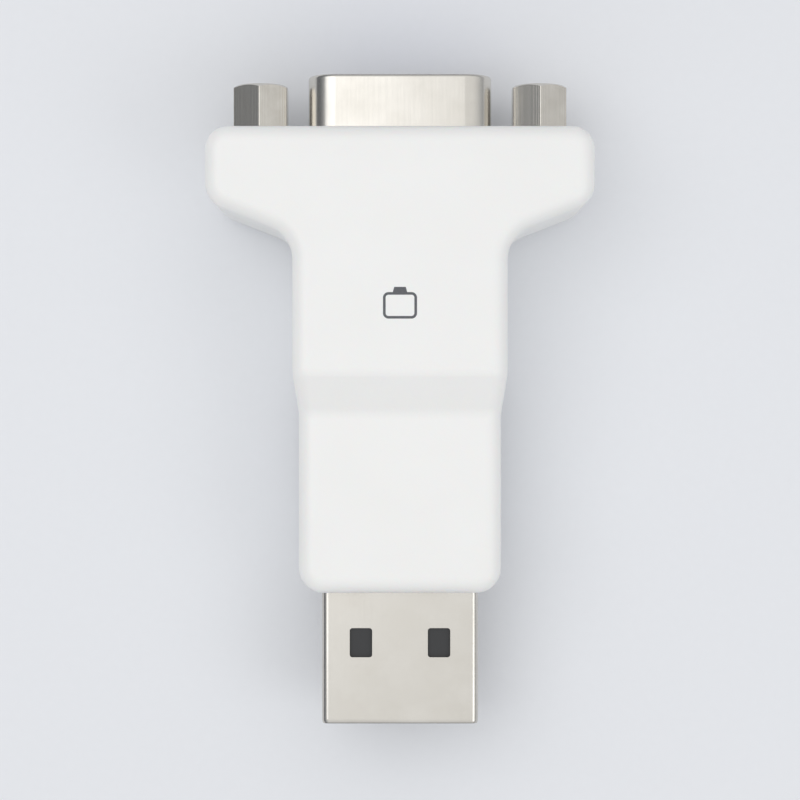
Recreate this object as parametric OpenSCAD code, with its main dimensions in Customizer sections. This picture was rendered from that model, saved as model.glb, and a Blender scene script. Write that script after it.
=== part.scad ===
// HDMI plug to VGA socket converter: a two-part moulded housing round one circuit board.
// +Y points out of the VGA socket, +Z is up and the flat underside lies on z = 0.

/* [Housing] */
// Wall thickness of both housing halves
wall = 1.3; // [1.1:0.1:1.5]
// Length of the nose, from its end face to the ramp
nose_l = 15.8; // [14.5:0.1:20]
// Length of the ramp between nose and neck
ramp_l = 3.5; // [2.5:0.1:5]
// Height that each ramp climbs
ramp_drop = 2; // [1:0.1:2.5]
// How far the neck stands out past the nose on each side
neck_flare = 0.5; // [0.3:0.1:1.5]
// Length of the neck, from the ramp to the shoulders
neck_l = 12; // [10:0.1:16]
// Length over which the shoulders widen to the head
shoulder_l = 3; // [2:0.1:4]
// Length of the head, from the shoulders to its end face
head_l = 6.6; // [6.5:0.1:9]
// Radius along the long outer edges
edge_r = 1.4; // [0.8:0.1:1.6]
// Radius of the nose's upright corners
nose_r = 2.2; // [2:0.1:3]
// Radius in the hollow of each shoulder
shoulder_r = 3; // [2:0.1:4]
// Radius of the head's upright corners behind the shoulders
head_r = 2.4; // [2:0.1:3]
// Radius of the head's upright corners at its end face
face_r = 2; // [1.8:0.1:2.6]
// Radius in plan that eases both ends of the ramp
ease_r = 7; // [4:0.5:9]
// Width of the shadow line between the halves
seam_w = 0.25; // [0.15:0.05:0.4]
// Depth of the shadow line
seam_d = 0.3; // [0.2:0.05:0.4]
// Thickness of the tongue that keys the halves together
tongue_t = 0.6; // [0.5:0.05:0.7]
// Height of that tongue
tongue_h = 0.9; // [0.7:0.05:1.2]
// Thickness of the inner ribs
rib_t = 1; // [0.8:0.1:1.2]

/* [VGA socket] */
// Length of the flange past the axis of each screw
flange_ear = 2.905; // [2.7:0.005:3.2]
// Height of the flange
flange_h = 12.5; // [12:0.1:13]
// Sheet thickness of the front and rear shells
sheet_t = 0.5; // [0.4:0.05:0.6]
// Gap between each end of the flange and the housing wall
flange_gap = 0.3; // [0.2:0.05:0.8]
// Plastic over the top and bottom edges of the flange
flange_cover = 1.25; // [1.1:0.05:2]
// Thickness of the housing lip in front of the flange
lip_t = 1; // [0.8:0.1:1.4]
// How far the lip laps over the flange's long edges
lip_overlap = 0.7; // [0.4:0.1:1]
// Widest outside width of the D-shaped shell
dshell_w = 16.3; // [16:0.1:16.6]
// Outside height of the D-shaped shell
dshell_h = 7.9; // [7.7:0.1:8.2]
// Length of the D-shaped shell in front of the flange
dshell_l = 5.9; // [5.5:0.1:6.5]
// Lean of the D-shaped shell's short sides, in degrees
dshell_lean = 10; // [8:1:12]
// Corner radius of the D-shaped shell
dshell_r = 2.5; // [2:0.1:2.6]
// Corner radius of the flange
flange_r = 1; // [0.5:0.1:1.5]
// How far the moulding behind the flange stands out past the one in front of it
rear_margin = 0.1; // [0:0.05:0.2]
// Height of the moulding behind the flange
rear_h = 7.3; // [7.2:0.1:8]
// Length of the moulding behind the flange
rear_l = 6; // [5:0.1:6.5]
// Distance between the two jackscrews
screw_spacing = 24.99; // [24.8:0.01:25.2]
// Distance between contacts in a row
pin_pitch = 2.29; // [2.2:0.01:2.4]
// Distance between rows of contacts
row_pitch = 1.98; // [1.9:0.01:2.1]
// Diameter of the pin holes in the front face
pin_hole_d = 1; // [0.9:0.05:1.1]
// Outside diameter of each socket contact
socket_d = 1.2; // [1.1:0.05:1.3]
// Bore of each socket contact
socket_bore_d = 0.8; // [0.7:0.05:0.85]
// Length of the barrel of each socket contact
socket_l = 5.4; // [4.5:0.1:5.5]
// Diameter of each contact's stem behind the barrel
stem_d = 0.6; // [0.5:0.05:0.7]

/* [Jackscrews] */
// Hexagon across its flats
hex_af = 4.76; // [4.5:0.01:5]
// Length of the hexagon
hex_l = 4.8; // [4:0.1:5.2]
// Diameter of the threaded hole in the hexagon
hex_bore_d = 2.4; // [2.2:0.05:2.6]
// Depth of the threaded hole in the hexagon
hex_bore_l = 4; // [3:0.1:4.2]
// Diameter of the threaded stud
stud_d = 2.7; // [2.5:0.05:2.85]
// Radial clearance of the stud in its threaded insert
stud_fit = 0.06; // [0.03:0.01:0.09]
// Diameter of the clearance hole in the front shell
stud_hole_d = 3.1; // [3.05:0.05:3.3]
// Outside diameter of the lock washer
washer_d = 5; // [4.6:0.1:5.2]
// Thickness of the lock washer
washer_t = 0.5; // [0.4:0.05:0.7]
// Outside diameter of the threaded insert
insert_d = 4.6; // [4.2:0.1:4.8]
// Length of the threaded insert behind the flange
insert_l = 3.6; // [3:0.1:3.8]

/* [HDMI plug] */
// Outside width of the shell
plug_w = 13.9; // [13.8:0.05:14]
// Outside height of the shell
plug_h = 4.45; // [4.4:0.05:4.5]
// Outside width across the shell's narrow floor
plug_floor_w = 10.6; // [10:0.1:11]
// Height of the shell's upright sides
plug_side_h = 2.5; // [2.2:0.1:2.8]
// Sheet thickness of the shell
plug_sheet = 0.3; // [0.25:0.05:0.35]
// Room between each side of the shell and the wall of the nose
plug_side = 0.65; // [0.65:0.05:1.7]
// Length of the shell in front of the nose
plug_out_l = 11.8; // [11:0.1:12.5]
// Length of the shell inside the nose
plug_in_l = 7.5; // [6.5:0.1:8]
// Width of the slot for the mating tongue
slot_w = 11.1; // [11:0.05:11.3]
// Height of the slot for the mating tongue
slot_h = 1.95; // [1.9:0.05:2.05]
// Depth of the slot for the mating tongue
slot_l = 7.4; // [7:0.1:8]
// Distance between contacts in one row
plug_pitch = 1; // [1:0.01:1.02]
// Width of each contact
plug_pin_w = 0.45; // [0.4:0.05:0.5]
// Thickness of each contact
plug_pin_t = 0.2; // [0.15:0.05:0.25]

/* [Circuit board] */
// Width of the board
board_w = 14.6; // [14:0.1:16]
// Room between each side of the board and the wall of the nose
board_side = 0.3; // [0.2:0.05:0.6]
// Thickness of the board
board_t = 1; // [0.8:0.1:1.2]

/* [Hidden] */

$fn = 48;
overrun = 0.5;
slip = 0.05;
corner_steps = 8;
edge_steps = 6;

// Housing sizes that follow the connectors
flange_w = screw_spacing + 2 * flange_ear;
head_w = flange_w + 2 * (flange_gap + wall);
head_h = flange_h + 2 * flange_cover;
nose_h = head_h - 2 * ramp_drop;
nose_w = max(plug_w + 2 * plug_side, board_w + 2 * board_side) + 2 * wall;
neck_w = nose_w + 2 * neck_flare;
mid_z = head_h / 2;
inner_r = wall * 0.3;
bead_r = 0.2;
bead_l = 4;
bead_z = tongue_h - bead_r - slip;

// Stations along the part
total_l = plug_out_l + nose_l + ramp_l + neck_l + shoulder_l + head_l + dshell_l - lip_t;
y_tip = -total_l / 2;
y_nose = y_tip + plug_out_l;
y_ramp = y_nose + nose_l;
y_neck = y_ramp + ramp_l;
y_shoulder = y_neck + neck_l;
y_head = y_shoulder + shoulder_l;
y_face = y_head + head_l;
y_flange = y_face - lip_t;
y_plates = y_flange - sheet_t;
y_rear_plate = y_plates - sheet_t;
y_end = y_flange + dshell_l;
y_rear = y_rear_plate - rear_l;

// Circuit board, held between the two connectors
board_gap = 0.6;
board_start = y_nose + plug_in_l + board_gap;
board_end = y_rear - board_gap;
board_l = board_end - board_start;
board_z = board_t / 2;
notch_r = 0.7;
ledge_w = 1.2;
ledge_reach = 0.8;
ledge_y = [y_ramp - 2 * ledge_w, y_neck + neck_l / 2];

// Socket insulator and contacts
face_recess = 0.3;
dshell_inside = sheet_t + slip;
rear_w = dshell_w - 2 * (dshell_inside - rear_margin);
socket_front = y_end - face_recess - pin_hole_d;
socket_rear = socket_front - socket_l;
tine_slit = 0.15;
tail_w = 0.5;
tail_t = 0.3;
outer_tail_l = 2.5;
middle_tail_l = 1.5;
top_row_x = pin_pitch / 4;
middle_row_x = -pin_pitch / 4;

// HDMI contacts
plug_recess = 0.6;
plug_end = y_nose + plug_in_l;
plug_pin_z = slot_h / 2;
leg_l = 3;
leg_h = 1.8;
plug_tail_l = 3;
upper_count = 10;
lower_count = 9;
latch_w = 2;
latch_l = 2.6;
latch_x = plug_w / 4;
latch_y = y_tip + plug_out_l / 2;

// Jackscrews
insert_bore_r = stud_d / 2 + stud_fit;
insert_collar_r = insert_d / 2 - 0.4 * sheet_t;
stud_l = washer_t + 2 * sheet_t + insert_l - 0.2 * sheet_t;
hex_r = hex_af / 2 / cos(30);

// Small outlines as [x, y, corner radius] paths, listed anticlockwise
dshell_path = leaning_path(dshell_w, dshell_h, dshell_r);
rear_path = leaning_path(rear_w, rear_h, dshell_r);
flange_path = leaning_path(flange_w, flange_h, flange_r, 0);
face_path = leaning_path(head_w - 2 * wall, flange_h - 2 * lip_overlap, flange_r, 0);
plug_corner_r = 2 * plug_sheet;
plug_path = [
    [plug_w / 2, plug_h / 2, plug_corner_r],
    [-plug_w / 2, plug_h / 2, plug_corner_r],
    [-plug_w / 2, plug_h / 2 - plug_side_h, plug_corner_r],
    [-plug_floor_w / 2, -plug_h / 2, plug_corner_r],
    [plug_floor_w / 2, -plug_h / 2, plug_corner_r],
    [plug_w / 2, plug_h / 2 - plug_side_h, plug_corner_r]
];

// Housing outline in plan, up the right side and down the left
right_side = [
    [nose_w / 2, y_nose, nose_r],
    [nose_w / 2, y_ramp, ease_r],
    [neck_w / 2, y_neck, ease_r],
    [neck_w / 2, y_shoulder, shoulder_r],
    [head_w / 2, y_head, head_r],
    [head_w / 2, y_face, face_r]
];
side_count = len(right_side);
plan_path = concat(
    right_side,
    [for (i = [side_count - 1:-1:0]) [-right_side[i][0], right_side[i][1], right_side[i][2]]]
);
ease_l = ease_r * tan(atan2(neck_w - nose_w, 2 * ramp_l) / 2);

// Body sizes of the parts on the board: width, length, height
converter_size = [7, 7, 0.9];
flash_size = [4.9, 3.9, 1.5];
crystal_size = [3.2, 2.5, 0.7];
regulator_size = [2.9, 1.6, 1.1];
esd_size = [2.5, 1, 0.5];
inductor_size = [2.5, 2, 1.2];
small_size = [1.6, 0.8, 0.5];
small_body_share = 0.9;
lead_t = 0.15;
lead_w = 0.4;
flash_pitch = 1.27;
regulator_pitch = 0.95;

// Places on the board as shares of its half width and of its length, and a turn in degrees
part_gap = 0.6;
beside_share = (converter_size[0] + small_size[1] + 2 * part_gap) / board_w;
capacitor_shares = [
    [-0.62, 0.3, 90], [-0.62, 0.4, 90], [0.62, 0.33, 90], [0.62, 0.43, 90], [-0.3, 0.22, 0],
    [0, 0.22, 0], [0.3, 0.22, 0], [-0.62, 0.6, 90], [-0.2, 0.72, 0], [0.62, 0.62, 90]
];
resistor_shares = [
    [-0.3, 0.82, 90], [-0.15, 0.82, 90], [0, 0.82, 90], [0.15, 0.82, 90], [0.3, 0.82, 90],
    [0.45, 0.82, 90], [beside_share, 0.53, 90], [-beside_share, 0.5, 90]
];
bead_shares = [[-0.45, 0.3, 0], [0, 0.3, 0], [0.45, 0.3, 0]];
esd_shares = [[-0.45, 0.2, 0], [0, 0.2, 0], [0.45, 0.2, 0]];
converter_share = 0.48;
flash_shares = [0, 0.55];
crystal_shares = [0.15, 0.76];
regulator_shares = [-0.6, 0.73];
inductor_shares = [0.55, 0.7];

// A four-sided path with both short sides leaning in towards its floor, as wide as w once rounded
function leaning_path(w, h, r, lean = dshell_lean) =
    let(x = w / 2 + r * (tan(lean) + 1 / cos(lean) - 1), skew = h * tan(lean))
    [[x, h / 2, r], [-x, h / 2, r], [skew - x, -h / 2, r], [x - skew, -h / 2, r]];

function unit(v) = v / norm(v);
function left_of(v) = [-v[1], v[0]];
function turned(v, a) = [v[0] * cos(a) - v[1] * sin(a), v[0] * sin(a) + v[1] * cos(a)];
function flat(p) = [p[0], p[1]];
function before(path, i) = flat(path[(i + len(path) - 1) % len(path)]);
function after(path, i) = flat(path[(i + 1) % len(path)]);
function way_in(path, i) = unit(flat(path[i]) - before(path, i));
function way_out(path, i) = unit(after(path, i) - flat(path[i]));
function turn_sign(path, i) = sign(cross(way_in(path, i), way_out(path, i)));
function turn_angle(path, i) = acos(way_in(path, i) * way_out(path, i));

// The path moved inwards by d, with each corner radius kept about the same centre
function inset(path, d) = [
    for (i = [0:len(path) - 1])
        let(
            a = left_of(way_in(path, i)),
            b = left_of(way_out(path, i)),
            p = flat(path[i]) + d * (a + b) / (1 + a * b)
        )
        [p[0], p[1], path[i][2] - turn_sign(path, i) * d]
];

// The path's points, with every corner drawn as an arc of steps + 1 points
function rounded(path, steps = corner_steps) = [
    for (i = [0:len(path) - 1])
        let(
            s = turn_sign(path, i),
            a = turn_angle(path, i),
            r = path[i][2],
            n = left_of(way_in(path, i)) * s * r,
            c = flat(path[i]) - way_in(path, i) * r * tan(a / 2) + n
        )
        for (k = [0:steps]) c + turned(-n, s * a * k / steps)
];

// A strip of thickness t along a line of points
function strip_side(line, t) = [
    for (i = [0:len(line) - 1])
        let(
            a = left_of(unit(line[max(i, 1)] - line[max(i, 1) - 1])),
            j = min(i, len(line) - 2),
            b = left_of(unit(line[j + 1] - line[j]))
        )
        line[i] + t / 2 * (a + b) / (1 + a * b)
];
function strip(line, t) = concat(
    strip_side(line, t),
    [for (i = [len(line) - 1:-1:0]) strip_side(line, -t)[i]]
);

// Half height of the housing at y: nose, ramp and neck, eased where they meet
function eased(d) = d < -ease_l ? 0 : d > ease_l ? d : pow(d + ease_l, 2) / (4 * ease_l);
function half_height(y) = nose_h / 2 + ramp_drop / ramp_l * (eased(y - y_ramp) - eased(y - y_neck));

// Levels of a half housing as [inset, share of the half height, rise]
outer_levels = concat(
    [[0, 0, 0]],
    [
        for (k = [0:edge_steps])
            let(a = 90 * k / edge_steps)
            [edge_r * (1 - cos(a)), 1, edge_r * (sin(a) - 1)]
    ]
);
cavity_levels = [[wall, 0, -overrun], [wall, 1, -wall - inner_r], [wall + inner_r, 1, -wall]];

// A closed solid through one outline per level, with its roof following half_height
module half_loft(levels) {
    rings = [for (v = levels) rounded(inset(plan_path, v[0]))];
    m = len(rings[0]);
    top = len(levels) - 1;
    points = [
        for (k = [0:top])
            for (p = rings[k])
                [p[0], p[1], levels[k][1] * half_height(p[1]) + levels[k][2]]
    ];
    bands = [
        for (k = [0:top - 1])
            for (i = [0:m - 1])
                let(a = k * m + i, b = k * m + (i + 1) % m)
                for (f = [[a, a + m, b + m], [a, b + m, b]]) f
    ];
    caps = [
        for (i = [0:m / 2 - 2])
            let(a = i, b = i + 1, c = m - 1 - b, d = m - 1 - a, t = top * m)
            for (f = [[a, b, c], [a, c, d], [a + t, d + t, c + t], [a + t, c + t, b + t]]) f
    ];
    polyhedron(points = points, faces = concat(bands, caps));
}

// Extrudes a drawing of X and Z along Y, from y over a length
module along_y(y, length) {
    translate([0, y + length, mid_z]) rotate([90, 0, 0]) linear_extrude(length) children();
}

// Extrudes a drawing of Y and Z along X, centred on x
module along_x(x, width) {
    translate([x - width / 2, 0, mid_z]) rotate([90, 0, 90]) linear_extrude(width) children();
}

// A cylinder along Y from y over a length, with its axis at x and a height above the middle
module rod(x, z, y, length, d) {
    translate([x, y + length, mid_z + z]) rotate([90, 0, 0]) cylinder(h = length, d = d);
}

// A box on both sides of the middle plane, given by its middle in X, its start in Y and Z
module block(size, x = 0, y = 0, z = 0) {
    translate([x - size[0] / 2, y, z]) cube(size);
}

module mirrored_pair() {
    children();
    mirror([1, 0, 0]) children();
}

// One half of the housing with its roof up and its rim on z = 0
module half_housing() {
    difference() {
        half_loft(outer_levels);
        half_loft(cavity_levels);
        block(
            [flange_w + 2 * slip, 2 * sheet_t + 2 * slip, flange_h / 2 + slip],
            y = y_rear_plate - slip
        );
    }
    flange_rib();
    for (y = ledge_y) mirrored_pair() board_ledge(y);
    for (y = [y_nose + 2 * wall, plug_end - rib_t - slip]) plug_rib(y);
}

// A wall behind the flange, which traps it against the lip
module flange_rib() {
    z = rear_h / 2 + rib_t;
    block(
        [head_w - 2 * wall + 2 * slip, rib_t, half_height(y_face) - wall + slip - z],
        y = y_rear_plate - slip - rib_t,
        z = z
    );
}

// A bar from the side wall over the edge of the board
module board_ledge(y) {
    inner = board_w / 2 - ledge_reach;
    outer = (y < y_ramp ? nose_w : neck_w) / 2 - wall + slip;
    block(
        [outer - inner, ledge_w, half_height(y) - wall + slip - board_z - slip],
        x = (outer + inner) / 2,
        y = y,
        z = board_z + slip
    );
}

// A wall across the nose that holds the plug's shell
module plug_rib(y) {
    block(
        [nose_w - 2 * wall + 2 * slip, rib_t, nose_h / 2 - wall - plug_h / 2],
        y = y,
        z = plug_h / 2 + slip
    );
}

// Band along the rim, between two insets of the outline
module rim_band(outside, inside, height) {
    linear_extrude(height) difference() {
        polygon(rounded(inset(plan_path, outside)));
        polygon(rounded(inset(plan_path, inside)));
    }
}

// The openings for the plug and the socket, cut through both halves
module end_openings() {
    along_y(y_nose - overrun, wall + 2 * overrun) polygon(rounded(inset(plug_path, -slip)));
    along_y(y_flange - slip, lip_t + slip + overrun) polygon(rounded(face_path));
    along_y(y_rear_plate - slip, 2 * (sheet_t + slip))
        square([head_w - 2 * wall, 2 * (tongue_h + rib_t)], center = true);
}

// Ridges along the tongue that snap into grooves in the top half
module snap_beads(d) {
    for (side = [-1, 1]) {
        rod(side * (nose_w / 2 - wall + tongue_t), bead_z, y_nose + (nose_l - bead_l) / 2, bead_l, d);
        rod(side * (neck_w / 2 - wall + tongue_t), bead_z, y_neck + (neck_l - bead_l) / 3, bead_l, d);
    }
}

module top_shell() {
    color("#F2F2F2") difference() {
        translate([0, 0, mid_z]) half_housing();
        end_openings();
        translate([0, 0, mid_z - slip]) rim_band(wall - tongue_t - slip, wall + slip, tongue_h + 2 * slip);
        translate([0, 0, mid_z - slip]) rim_band(-overrun, seam_d, seam_w + slip);
        snap_beads(2 * (bead_r + slip));
    }
}

module bottom_shell() {
    color("#F2F2F2") difference() {
        union() {
            translate([0, 0, mid_z]) mirror([0, 0, 1]) half_housing();
            translate([0, 0, mid_z - slip]) rim_band(wall - tongue_t, wall, tongue_h + slip);
            snap_beads(2 * bead_r);
            for (x = [-1, 1] * board_w / 2)
                translate([x, ledge_y[1] + ledge_w / 2, mid_z - board_z - wall])
                    cylinder(h = board_t + wall - slip, r = notch_r - slip);
        }
        end_openings();
    }
}

module circuit_board() {
    leg_gap = max(slip, board_w - plug_w + 2 * (plug_sheet + slip));
    color("#1F5C3A") difference() {
        translate([-board_w / 2, board_start, mid_z - board_z]) cube([board_w, board_l, board_t]);
        for (x = [-1, 1] * board_w / 2)
            block(
                [leg_gap, 2 * (leg_l - board_gap + slip), head_h],
                x = x,
                y = board_start - leg_l + board_gap
            );
        for (x = [-1, 1] * board_w / 2)
            translate([x, ledge_y[1] + ledge_w / 2, mid_z - board_z - overrun])
                cylinder(h = board_t + 2 * overrun, r = notch_r);
    }
}

module hdmi_shell() {
    color("#C9CCD0") difference() {
        along_y(y_tip, plug_out_l + plug_in_l) difference() {
            polygon(rounded(plug_path));
            polygon(rounded(inset(plug_path, plug_sheet)));
        }
        for (x = [-latch_x, latch_x])
            block([latch_w, latch_l, head_h], x = x, y = latch_y);
    }
    color("#C9CCD0")
        for (x = [-1, 1] * (plug_w - plug_sheet) / 2)
            block([plug_sheet, leg_l + slip, leg_h], x = x, y = plug_end - slip, z = mid_z - leg_h / 2);
}

module hdmi_insulator() {
    length = plug_out_l + plug_in_l - plug_recess - slip;
    color("#1B1B1D") difference() {
        along_y(y_tip + plug_recess, length) polygon(rounded(inset(plug_path, plug_sheet + slip)));
        block([slot_w, slot_l + overrun, slot_h], y = y_tip + plug_recess - overrun, z = mid_z - slot_h / 2);
        plug_channels(upper_count, 1, length);
        plug_channels(lower_count, -1, length);
    }
}

// Channels that the contacts lie in, above or below the slot
module plug_channels(count, side, length) {
    z = board_z + slip;
    for (i = [0:count - 1])
        along_y(y_tip + 2 * plug_recess, length)
            translate([plug_pitch * (i - (count - 1) / 2), side * (z + plug_pin_z + plug_pin_t) / 2])
                square([plug_pin_w + 2 * slip, plug_pin_z + plug_pin_t - z], center = true);
}

// A row of contacts: along the slot, back through the insulator and down onto the board
module plug_contacts(count, side) {
    z = plug_pin_z + plug_pin_t / 4;
    tail_z = board_z + plug_pin_t / 2;
    y = y_tip + 3 * plug_recess;
    line = [
        [y, side * (z + plug_pin_t / 4)],
        [y + 2 * plug_recess, side * (z - plug_pin_t / 4)],
        [y + slot_l, side * (z - plug_pin_t / 4)],
        [plug_end - board_gap, side * (z - plug_pin_t / 4)],
        [board_start - plug_pin_t, side * tail_z],
        [board_start + plug_tail_l, side * tail_z]
    ];
    color("#D9B25A")
        for (i = [0:count - 1])
            along_x(plug_pitch * (i - (count - 1) / 2), plug_pin_w) polygon(strip(line, plug_pin_t));
}

module hdmi_upper_contacts() {
    plug_contacts(upper_count, 1);
}

module hdmi_lower_contacts() {
    plug_contacts(lower_count, -1);
}

// A flange plate with its two screw holes, and the D-shaped hole cut through it
module flange_plate(y, hole_d) {
    along_y(y, sheet_t) difference() {
        polygon(rounded(flange_path));
        for (x = [-1, 1] * screw_spacing / 2) translate([x, 0]) circle(d = hole_d);
        children();
    }
}

module vga_front_shell() {
    color("#C4C7CB") {
        flange_plate(y_plates, stud_hole_d) polygon(rounded(inset(dshell_path, sheet_t)));
        along_y(y_plates, dshell_l + sheet_t) difference() {
            polygon(rounded(dshell_path));
            polygon(rounded(inset(dshell_path, sheet_t)));
        }
    }
}

module vga_rear_shell() {
    color("#B4B7BB") {
        flange_plate(y_rear_plate, 2 * insert_collar_r + 2 * slip) polygon(rounded(inset(rear_path, -slip)));
        along_y(y_rear_plate - rear_l / 2, rear_l / 2 + sheet_t) difference() {
            polygon(rounded(inset(rear_path, -slip - sheet_t)));
            polygon(rounded(inset(rear_path, -slip)));
        }
    }
}

// Runs its children at each contact of the three rows
module at_contacts() {
    for (row = [-1:1])
        for (i = [-2:2])
            translate([pin_pitch * i + (row == 0 ? middle_row_x : top_row_x), 0, row * row_pitch])
                children();
}

module vga_front_insulator() {
    lead_in = (socket_d - pin_hole_d) * 2;
    color("#2D4FA8") difference() {
        along_y(y_plates, dshell_l + sheet_t - face_recess)
            polygon(rounded(inset(dshell_path, dshell_inside)));
        at_contacts() {
            rod(0, 0, y_plates - overrun, socket_front - y_plates + overrun + slip, socket_d + 2 * slip);
            rod(0, 0, socket_front, 2 * pin_hole_d, pin_hole_d);
            translate([0, y_end - face_recess + slip, mid_z]) rotate([90, 0, 0])
                cylinder(h = lead_in, d1 = pin_hole_d + 2 * lead_in, d2 = pin_hole_d);
        }
    }
}

module vga_rear_insulator() {
    color("#1E1F22") difference() {
        along_y(y_rear, rear_l + sheet_t) polygon(rounded(rear_path));
        at_contacts() {
            rod(0, 0, y_rear - overrun, rear_l + sheet_t + 2 * overrun, stem_d + 2 * slip);
            rod(0, 0, socket_rear - slip, y_plates - socket_rear + overrun, socket_d + 2 * slip);
        }
    }
}

// One row of socket contacts: split barrel, stem and a tail soldered to the board
module socket_row(x, z, side, tail_l) {
    tail_z = side * (board_z + tail_t / 2);
    line = [
        [y_rear + tail_t, z],
        [y_rear - board_gap / 4, z],
        [y_rear - board_gap / 4 - abs(z) / 2 - tail_t, tail_z],
        [board_end - tail_l, tail_z]
    ];
    color("#D9B25A")
        for (i = [-2:2]) {
            difference() {
                rod(x + pin_pitch * i, z, socket_rear, socket_l, socket_d);
                rod(x + pin_pitch * i, z, socket_rear + socket_d, socket_l, socket_bore_d);
                block(
                    [tine_slit, socket_l, 2 * socket_d],
                    x = x + pin_pitch * i,
                    y = socket_front - socket_l / 2,
                    z = mid_z + z - socket_d
                );
            }
            rod(x + pin_pitch * i, z, y_rear, socket_rear - y_rear + slip, stem_d);
            along_x(x + pin_pitch * i, tail_w) polygon(strip(line, tail_t));
        }
}

module vga_top_contacts() {
    socket_row(top_row_x, row_pitch, 1, outer_tail_l);
}

module vga_middle_contacts() {
    socket_row(middle_row_x, 0, 1, middle_tail_l);
}

module vga_bottom_contacts() {
    socket_row(top_row_x, -row_pitch, -1, outer_tail_l);
}

// A hexagonal jackscrew at x: chamfered hexagon with a threaded hole, and its stud behind
module jackscrew(x) {
    y = y_flange + washer_t;
    bevel = (hex_r - hex_af / 2) * 0.6;
    color("#B9BCC0") difference() {
        union() {
            intersection() {
                translate([x, y + hex_l, mid_z]) rotate([90, 30, 0]) cylinder(h = hex_l, r = hex_r, $fn = 6);
                translate([x, y, mid_z]) rotate([-90, 0, 0]) union() {
                    cylinder(h = hex_l - bevel, r = hex_r + slip);
                    translate([0, 0, hex_l - bevel]) cylinder(h = bevel, r1 = hex_r + slip, r2 = hex_af / 2);
                }
            }
            rod(x, 0, y - stud_l, stud_l + slip, stud_d);
        }
        rod(x, 0, y + hex_l - hex_bore_l, hex_bore_l + overrun, hex_bore_d);
    }
}

module left_jackscrew() {
    jackscrew(-screw_spacing / 2);
}

module right_jackscrew() {
    jackscrew(screw_spacing / 2);
}

// A split lock washer round the stud at x
module lock_washer(x) {
    color("#A9ACB0") difference() {
        rod(x, 0, y_flange, washer_t, washer_d);
        rod(x, 0, y_flange - overrun, washer_t + 2 * overrun, stud_d + 4 * slip);
        block([washer_t, 2 * washer_t + overrun, washer_d], x = x, y = y_flange - washer_t, z = mid_z);
    }
}

module left_lock_washer() {
    lock_washer(-screw_spacing / 2);
}

module right_lock_washer() {
    lock_washer(screw_spacing / 2);
}

// A threaded insert clinched into the rear shell at x
module threaded_insert(x) {
    color("#B08D4A") difference() {
        union() {
            rod(x, 0, y_rear_plate - insert_l, insert_l, insert_d);
            rod(x, 0, y_rear_plate - slip, sheet_t + slip, 2 * insert_collar_r);
        }
        rod(x, 0, y_rear_plate - insert_l - overrun, insert_l + sheet_t + 2 * overrun, 2 * insert_bore_r);
    }
}

module left_threaded_insert() {
    threaded_insert(-screw_spacing / 2);
}

module right_threaded_insert() {
    threaded_insert(screw_spacing / 2);
}

// Places a part on the board's upper or lower face, at shares of its half width and length
module on_board(shares, side = 1, turn = 0) {
    translate([shares[0] * board_w / 2, board_start + shares[1] * board_l, mid_z])
        mirror([0, 0, side < 0 ? 1 : 0]) translate([0, 0, board_z]) rotate([0, 0, turn]) children();
}

module body_block(size, lift = 0) {
    translate([-size[0] / 2, -size[1] / 2, lift]) cube([size[0], size[1], size[2] - lift]);
}

// Gull-wing leads in two rows, along the sides that face -Y and +Y
module gull_leads(size, count, pitch) {
    line = [
        [size[1] / 2 - lead_t, size[2] / 2],
        [size[1] / 2 + 2 * lead_t, size[2] / 2],
        [size[1] / 2 + 3 * lead_t, lead_t / 2],
        [size[1] / 2 + 7 * lead_t, lead_t / 2]
    ];
    for (turn = [0, 180])
        for (i = [0:count - 1])
            rotate([0, 0, turn]) translate([pitch * (i - (count - 1) / 2) - lead_w / 2, 0, 0])
                rotate([90, 0, 90]) linear_extrude(lead_w) polygon(strip(line, lead_t));
}

module converter_chip() {
    pads = 12;
    pitch = converter_size[0] / (pads + 2);
    color("#26282B") on_board([0, converter_share]) {
        difference() {
            body_block(converter_size, lead_t / 2);
            translate([-converter_size[0] * 0.4, converter_size[1] * 0.4, converter_size[2] - lead_t / 2])
                cylinder(h = lead_t, r = lead_w);
        }
        for (turn = [0:90:270])
            for (i = [0:pads - 1])
                rotate([0, 0, turn])
                    translate([pitch * (i - pads / 2 + 1 / 4), converter_size[1] / 2 - lead_w, 0])
                        cube([pitch / 2, lead_w + slip, lead_t]);
    }
}

module flash_chip() {
    color("#2B2D30") on_board(flash_shares, side = -1) {
        body_block(flash_size, lead_t);
        gull_leads(flash_size, 4, flash_pitch);
    }
}

module crystal() {
    color("#C8CACC") on_board(crystal_shares, side = -1) {
        body_block([crystal_size[0], crystal_size[1], crystal_size[2] / 2]);
        translate([0, 0, crystal_size[2] / 2 - slip])
            body_block([crystal_size[0] - lead_w, crystal_size[1] - lead_w, crystal_size[2] / 2 + slip]);
    }
}

module voltage_regulator() {
    color("#2B2D30") on_board(regulator_shares) {
        body_block(regulator_size, lead_t);
        gull_leads(regulator_size, 3, regulator_pitch);
    }
}

module esd_arrays() {
    color("#303236") for (p = esd_shares) on_board(p) body_block(esd_size);
}

// A small two-ended part with a cap on each end
module chip_part() {
    body_block([small_size[0] * small_body_share, small_size[1] - slip, small_size[2] - slip], slip);
    for (x = [-1, 1] * (small_size[0] / 2 - lead_w / 2))
        translate([x, 0, 0]) body_block([lead_w, small_size[1], small_size[2]]);
}

module capacitors() {
    color("#B79B73") for (p = capacitor_shares) on_board(p, side = -1, turn = p[2]) chip_part();
}

module resistors() {
    color("#3A3C40") for (p = resistor_shares) on_board(p, turn = p[2]) chip_part();
}

module ferrite_beads() {
    color("#55585C") for (p = bead_shares) on_board(p, turn = p[2]) chip_part();
}

module power_inductor() {
    color("#47494D") on_board(inductor_shares) {
        body_block(inductor_size);
    }
}

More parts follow.
